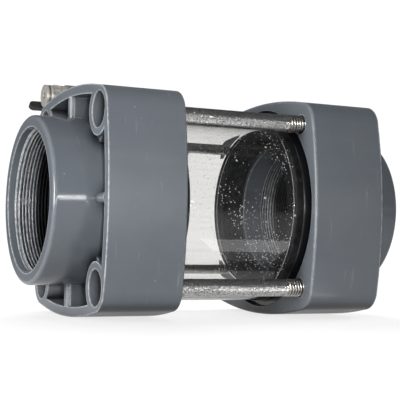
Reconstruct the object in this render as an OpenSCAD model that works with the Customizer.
// Sight glass for a pipe line: two moulded end bodies with female pipe
// threads, a clear tube clamped between them by four tie bolts, and a small
// vent cock on the upper rear corner of the inlet body.
// The pipe axis is X, +Y is the rear, +Z up. The origin is the centre of the
// inlet port's mouth and the flow runs along +X. The modules below are laid out
// from the middle of the clear tube, and at_mouth() moves each piece to the origin.

/* [Overall] */
// clear distance between the inner faces of the two end bodies
gap = 46.4; // [40:0.2:60]
// thickness of an end body, inner face to outer rim
body_t = 26.6; // [26:0.1:30]
// how far the threaded hub stands out of the outer rim
hub_out = 13.8; // [8:0.2:20]

/* [End body] */
// distance of each tie bolt from the pipe axis along Y and along Z
bolt_at = 27.65; // [27.37:0.14:27.93]
// distance from the pipe axis to the middle of each bowed side
half_mid = 38.0; // [37.9:0.1:38.3]
// radius of the bow of the four sides
bow_r = 148; // [146:0.5:148]
// radius of the corners of the outline, round the tie bolts
corner_r = 7.65; // [7.65:0.05:8]
// radius of the bosses round the pockets, inside the outline
boss_r = 8.2; // [7.2:0.1:8.6]
// thickness of the rim wall and of the mid-side ribs
wall = 3.2; // [2.6:0.1:3.4]
// depth of the hollow compartments behind the outer rim
hollow = 13.0; // [10:0.5:14]
// edge rounding on the side that faces the tube
edge_r = 0.8; // [0.4:0.1:1.4]
// outside radius of the threaded hub
hub_r = 27.8; // [27:0.1:28.4]
// rounding of the hub's outer edge
hub_edge = 1.2; // [0.5:0.1:2.2]

/* [Ports] */
// root radius of the 1 1/2 inch female pipe thread, which the male pipe fills
port_r = 23.9; // [23.5:0.01:23.9]
// depth of the pipe thread behind the mouth
port_l = 28.4; // [20:0.1:30]
// radius of the flow bore between thread and tube, the thread's crest radius
bore_r = 22.4; // [20:0.1:22.6]

/* [Tube] */
// outside radius of the clear tube
tube_r = 33.0; // [32:0.1:33.4]
// wall thickness of the clear tube
tube_w = 4.5; // [3:0.1:6]
// radius of the raised seat on each inner face
seat_r = 33.5; // [33.2:0.1:33.8]
// height of the seat at the inlet
seat_in = 0.4; // [0.2:0.1:1]
// height of the seat at the outlet
seat_out = 1.8; // [1:0.1:3]
// outside radius of the groove round the seat
groove_r = 35.2; // [34.6:0.1:35.6]
// depth of the groove
groove_l = 1.6; // [1:0.1:2]
// thickness of the gasket's flange under each end of the tube
gasket_t = 2.0; // [1:0.1:3]
// inside radius of the gasket
gasket_r = 24.0; // [23:0.1:24.4]
// outside radius of the gasket's sleeve
sleeve_r = 25.35; // [25:0.05:25.35]
// length of the gasket's sleeve
sleeve_l = 5.8; // [3:0.1:6]

/* [Tie bolts] */
// radius of the bolt shank (M6)
bolt_r = 3.0; // [2.8:0.05:3.0]
// length of the bolt under the head
bolt_l = 85; // [84:1:86]
// length of the threaded end
thread_l = 28.4; // [20:0.2:40]
// head radius of the cap screw
head_r = 5.0; // [4.6:0.1:5.2]
// head height of the cap screw
head_h = 6.0; // [4:0.1:6.5]
// radius of the pockets that hide heads and nuts
pocket_r = 5.75; // [5.65:0.05:5.85]
// depth of the pockets
pocket_l = 12.0; // [9:0.1:12.4]
// washer radius
washer_r = 5.5; // [5.2:0.1:5.6]
// washer thickness
washer_t = 1.6; // [1:0.1:2]
// nut width across flats
nut_af = 10; // [9.5:0.1:10.2]
// nut height
nut_h = 5.0; // [4:0.1:6]

/* [Vent cock] */
// position of the cock's flow axis along Y
vent_y = 40.0; // [39.6:0.1:41]
// position of the cock's flow axis along Z
vent_z = 40.8; // [40.2:0.1:41.6]
// inlet side end of the cock's outlet nose
vent_x = -46.6; // [-47.6:0.1:-46]
// lever length from the plug axis to the tip
lever_l = 8.3; // [7:0.1:12]

/* [Hidden] */
$fn = 96;
over = 1; // how far cuts run past a face, and pieces into each other
fit = 0.05; // radial clearance of sleeve, spigot and plug

// stations along X, from the middle of the tube
inner = gap / 2;
outer = inner + body_t;
end_l = body_t + hub_out; // inner face to mouth
face = inner + end_l;
pocket_end = outer - pocket_l;
head_x = -pocket_end - washer_t;
nut_x = pocket_end + washer_t;
bolt_end = head_x + bolt_l;

// end body
bow_c = half_mid - bow_r; // centre of the bowed sides
meet_dir = [0.2, 0.98]; // direction in which a bowed side meets its corner
meet_l = 14; // length of the dividing lines from the corner centres
hub_base = 6; // start of hub, ribs and webs above the inner face
hub_l = end_l - hub_base;
boss_base = 2;
rib_top = body_t - 1;
web_w = 4;
web_top = body_t - 3;
hole_r = bolt_r + 0.3;

// tie bolt
head_edge = 0.5;
socket_af = 5; // hexagon socket across flats
socket_l = 3.2;

// vent boss on the inlet body
boss_x = -38.5; // its free end
vent_boss_r = 4.6;
rib_w = 5.2; // rib round the slanted passage
socket_end = -32.2;
pass_x = -33.2;
pass_r = 0.9;
pass_a = atan2(vent_z, vent_y) + 17; // slanted past the tie bolt

// vent cock, heights measured along the plug axis from the flow axis
plug_x = -42.4;
tilt = 35; // of the plug axis, downward from +Y
spigot_r = 3.0;
ring_r = 4.1; // rings round the nose
ring_l = 0.9;
plug_r = 2.0;
gland_z = 3;
gland_r = 2.5;
stem_r = 1.2;
lever_z = 5;
lever_t = 1.7;
lever_w = 3.2;
neck_w = 1.6; // square neck of the plug
screw_r = 0.5;

body_grey = [0.33, 0.36, 0.39];
rubber_black = [0.06, 0.06, 0.07];
plated_brass = [0.74, 0.72, 0.68];

// ---- placing and basic shapes ----

module at_mouth() translate([face, 0, 0]) children();

// tie bolt places: 1 and 2 at the front, 3 and 4 at the rear, odd ones on top
module at_bolt(i)
    translate([0, i <= 2 ? -bolt_at : bolt_at, i % 2 == 1 ? bolt_at : -bolt_at]) children();

module along_x(start, end, radius)
    translate([start, 0, 0]) rotate([0, 90, 0]) cylinder(h = end - start, r = radius);

module post(start, height, radius)
    translate([0, 0, start]) cylinder(h = height, r = radius);

// cylinder with a rounded top edge
module rounded_post(radius, height, edge) rotate_extrude() {
    square([radius, height - edge]);
    square([radius - edge, height]);
    translate([radius - edge, height - edge]) circle(r = edge);
}

// ---- end bodies, lying on their inner face, hub upward ----

module at_corners()
    for (y = [-1, 1]) for (z = [-1, 1]) translate([y * bolt_at, z * bolt_at, 0]) children();

// the region of the outline that belongs to the four bowed sides
module bow_region() {
    centre = [bolt_at, bolt_at];
    steep = centre + meet_l * meet_dir;
    flat = centre + meet_l * [meet_dir[1], meet_dir[0]];
    notch = [flat, centre, steep];
    // every other quarter runs through its notch backwards
    polygon([
        for (side = [[1, 1], [-1, 1], [-1, -1], [1, -1]])
            for (i = [0:2])
                let (p = notch[side[0] * side[1] > 0 ? i : 2 - i])
                    [side[0] * p[0], side[1] * p[1]]
    ]);
}

// disc with its lower edge rounded
module disc(radius, height, edge) {
    if (edge > 0) rotate_extrude($fn = 180) {
        square([radius - edge, height]);
        translate([0, edge]) square([radius, height - edge]);
        translate([radius - edge, edge]) intersection() {
            circle(r = edge);
            translate([0, -edge]) square([edge, edge]);
        }
    }
    else cylinder(h = height, r = radius, $fn = 180);
}

// bowed square block, its outline shrunk by inset, its lower edge rounded
module block(height, inset, edge) {
    intersection() {
        linear_extrude(height = height) bow_region();
        translate([0, bow_c, 0]) disc(bow_r - inset, height, edge);
        translate([0, -bow_c, 0]) disc(bow_r - inset, height, edge);
        translate([bow_c, 0, 0]) disc(bow_r - inset, height, edge);
        translate([-bow_c, 0, 0]) disc(bow_r - inset, height, edge);
    }
    at_corners() disc(corner_r - inset, height, edge);
}

// block with the groove round the seat and the hollow compartments
module shell() difference() {
    block(body_t, 0, edge_r);
    post(-over, groove_l + over, groove_r);
    translate([0, 0, body_t - hollow]) block(hollow + over, wall, 0);
}

// corner bosses, cut off by the outline
module corner_bosses() intersection() {
    block(body_t, 0.1, 0);
    at_corners() post(boss_base, body_t - boss_base, boss_r);
}

module mid_side_ribs()
    for (a = [0:90:270]) rotate([0, 0, a]) translate([hub_r - over, -wall / 2, hub_base])
        cube([half_mid - hub_r - wall / 2, wall, rib_top - hub_base]);

// short webs between the corner bosses and the hub
module corner_webs()
    for (a = [45:90:315]) rotate([0, 0, a]) translate([hub_r - over, -web_w / 2, hub_base])
        cube([bolt_at * sqrt(2) - hub_r - pocket_r, web_w, web_top - hub_base]);

module end_body(seat_h) difference() {
    union() {
        shell();
        post(-seat_h, seat_h + groove_l + over, seat_r);
        translate([0, 0, hub_base]) rounded_post(hub_r, hub_l, hub_edge);
        corner_bosses();
        mid_side_ribs();
        corner_webs();
    }
    // recess for the gasket's sleeve, flow bore and pipe thread
    post(-seat_h - over, sleeve_l + 0.2 + over, sleeve_r + fit);
    post(-seat_h - over, end_l + seat_h + 2 * over, bore_r);
    post(end_l - port_l, port_l + over, port_r);
    // tie bolt holes and pockets
    at_corners() {
        post(-over, body_t + 2 * over, hole_r);
        post(body_t - pocket_l, pocket_l + over, pocket_r);
    }
}

module at_vent() translate([0, vent_y, vent_z]) children();

// frame on the cock's flow axis at x, local +Y along the slanted passage
module at_passage(x)
    translate([x, vent_y, vent_z]) rotate([pass_a - 180, 0, 0]) children();

// vent boss and its rib, kept clear of the body's middle
module vent_boss() difference() {
    union() {
        at_vent() along_x(boss_x, -inner - 5, vent_boss_r);
        at_passage(boss_x + 0.5) translate([0, 0, -rib_w / 2]) cube([9, 13, rib_w]);
    }
    along_x(-outer, -inner, 35.8);
}

module inlet_body() color(body_grey) at_mouth() difference() {
    union() {
        translate([-inner, 0, 0]) rotate([0, -90, 0]) mirror([1, 0, 0]) end_body(seat_in);
        vent_boss();
    }
    // socket for the cock's spigot and the slanted passage into the bore
    at_vent() along_x(boss_x - over, socket_end, spigot_r + fit);
    at_passage(pass_x) rotate([-90, 0, 0]) cylinder(h = 42, r = pass_r);
    // tie bolt hole and pocket, cut again through the vent boss
    at_bolt(3) {
        along_x(-outer - over, -inner + over, hole_r);
        along_x(-outer - over, -pocket_end, pocket_r);
    }
}

module outlet_body() color(body_grey) at_mouth()
    translate([inner, 0, 0]) rotate([0, 90, 0]) end_body(seat_out);

// ---- tube and gaskets ----

module sight_tube() color([0.88, 0.92, 0.93, 0.35]) at_mouth() difference() {
    along_x(seat_in + gasket_t - inner, inner - seat_out - gasket_t, tube_r);
    along_x(-inner, inner, tube_r - tube_w);
}

// flat flange between the seat at x and the tube's end, and a sleeve into the body
module gasket(x) difference() {
    union() {
        along_x(x - gasket_t, x, tube_r + 0.2);
        along_x(x - 0.5, x + sleeve_l, sleeve_r);
    }
    along_x(x - gasket_t - over, x + sleeve_l + over, gasket_r);
}
module inlet_gasket() color(rubber_black) at_mouth() mirror([1, 0, 0]) gasket(inner - seat_in);
module outlet_gasket() color(rubber_black) at_mouth() gasket(inner - seat_out);

// ---- tie bolts, nuts and washers ----

// cap screw with hexagon socket, the far end threaded
module tie_bolt(i) color([0.62, 0.61, 0.59]) at_mouth() at_bolt(i) difference() {
    union() {
        translate([head_x, 0, 0]) rotate([0, -90, 0]) rounded_post(head_r, head_h, head_edge);
        along_x(head_x - over, bolt_end - thread_l, bolt_r - 0.1);
        along_x(bolt_end - thread_l, bolt_end - 0.6, bolt_r);
        along_x(bolt_end - 1, bolt_end, bolt_r - 0.5);
    }
    translate([head_x - head_h - over, 0, 0]) rotate([0, 90, 0])
        cylinder(h = socket_l + over, r = socket_af / 2 / cos(30), $fn = 6);
}
module tie_bolt_1() tie_bolt(1);
module tie_bolt_2() tie_bolt(2);
module tie_bolt_3() tie_bolt(3);
module tie_bolt_4() tie_bolt(4);

// plain hexagon nut, its outer corners chamfered
module tie_nut(i) color([0.66, 0.65, 0.63]) at_mouth() at_bolt(i) difference() {
    rim_r = nut_af / 2 + 0.55;
    intersection() {
        translate([nut_x, 0, 0]) rotate([0, 90, 0]) rotate([0, 0, 30])
            cylinder(h = nut_h, r = nut_af / 2 / cos(30), $fn = 6);
        translate([nut_x, 0, 0]) rotate([0, 90, 0]) rotate_extrude()
            polygon([[0, 0], [rim_r, 0], [rim_r, nut_h - 0.4],
                [nut_af / 2 - 0.1, nut_h], [0, nut_h]]);
    }
    along_x(nut_x - over, nut_x + nut_h + over, bolt_r);
}
module tie_nut_1() tie_nut(1);
module tie_nut_2() tie_nut(2);
module tie_nut_3() tie_nut(3);
module tie_nut_4() tie_nut(4);

// flat washer on tie bolt i, starting at x
module washer(i, x) color([0.70, 0.69, 0.67]) at_mouth() at_bolt(i) difference() {
    along_x(x, x + washer_t, washer_r);
    along_x(x - over, x + washer_t + over, bolt_r + 0.2);
}
module head_washer_1() washer(1, head_x);
module head_washer_2() washer(2, head_x);
module head_washer_3() washer(3, head_x);
module head_washer_4() washer(4, head_x);
module nut_washer_1() washer(1, pocket_end);
module nut_washer_2() washer(2, pocket_end);
module nut_washer_3() washer(3, pocket_end);
module nut_washer_4() washer(4, pocket_end);

// ---- vent cock ----

// frame of the plug axis: local +Z points away from the flow axis, down and to the rear
module on_plug()
    translate([plug_x, vent_y, vent_z]) rotate([-90 - tilt, 0, 0]) children();

module square_neck(start, height)
    translate([-neck_w / 2, -neck_w / 2, start]) cube([neck_w, neck_w, height]);

module vent_body() color(plated_brass) at_mouth() difference() {
    union() {
        at_vent() {
            // spigot, collar, barrel and the two rings of the nose
            along_x(boss_x - 0.01, boss_x + 4.4, spigot_r);
            along_x(boss_x - 1.8, boss_x, 4.2);
            along_x(vent_x + 0.2, boss_x - over, 3.5);
            for (x = [vent_x, vent_x + 1.7]) along_x(x, x + ring_l, ring_r);
        }
        on_plug() post(-3.2, 7.8, 3.0);
    }
    at_vent() along_x(vent_x - over, boss_x + 6, 1.25);
    on_plug() post(-2, 8, plug_r + fit);
    on_plug() post(gland_z, 3, gland_r);
}

// turning plug with a cross hole, and a square neck for the lever
module vent_plug() color([0.80, 0.70, 0.45]) at_mouth() on_plug() difference() {
    union() {
        post(-1.95, 4.9, plug_r);
        post(2, lever_z - 2, stem_r);
        square_neck(lever_z, lever_t);
    }
    rotate([0, 90, 0]) post(-4, 8, 1.2);
    post(3.6, 4, screw_r);
}

// gland ring that keeps the plug in
module vent_gland() color(plated_brass) at_mouth() on_plug() difference() {
    post(gland_z, 1.9, gland_r);
    post(gland_z - over, 4, stem_r + fit);
}

// black lever, parallel to the cock in the open position
module vent_lever() color([0.05, 0.05, 0.05]) at_mouth() on_plug() difference() {
    tip_r = lever_w / 2;
    union() {
        post(lever_z, lever_t, 2.3);
        translate([-lever_l + tip_r, -tip_r, lever_z]) cube([lever_l - tip_r, lever_w, lever_t]);
        translate([-lever_l + tip_r, 0, 0]) post(lever_z, lever_t, tip_r);
    }
    square_neck(lever_z - over, 4);
}

// slotted screw that holds the lever
module vent_screw() color([0.72, 0.71, 0.69]) at_mouth() on_plug() difference() {
    union() {
        post(lever_z + lever_t, 0.9, 1.5);
        post(4.2, 2.6, screw_r);
    }
    translate([-2, -0.2, 7.2]) cube([4, 0.4, 1]);
}

inlet_body();
outlet_body();
sight_tube();
inlet_gasket();
outlet_gasket();
tie_bolt_1();
tie_bolt_2();
tie_bolt_3();
tie_bolt_4();
tie_nut_1();
tie_nut_2();
tie_nut_3();
tie_nut_4();
head_washer_1();
head_washer_2();
head_washer_3();
head_washer_4();
nut_washer_1();
nut_washer_2();
nut_washer_3();
nut_washer_4();
vent_body();
vent_plug();
vent_gland();
vent_lever();
vent_screw();
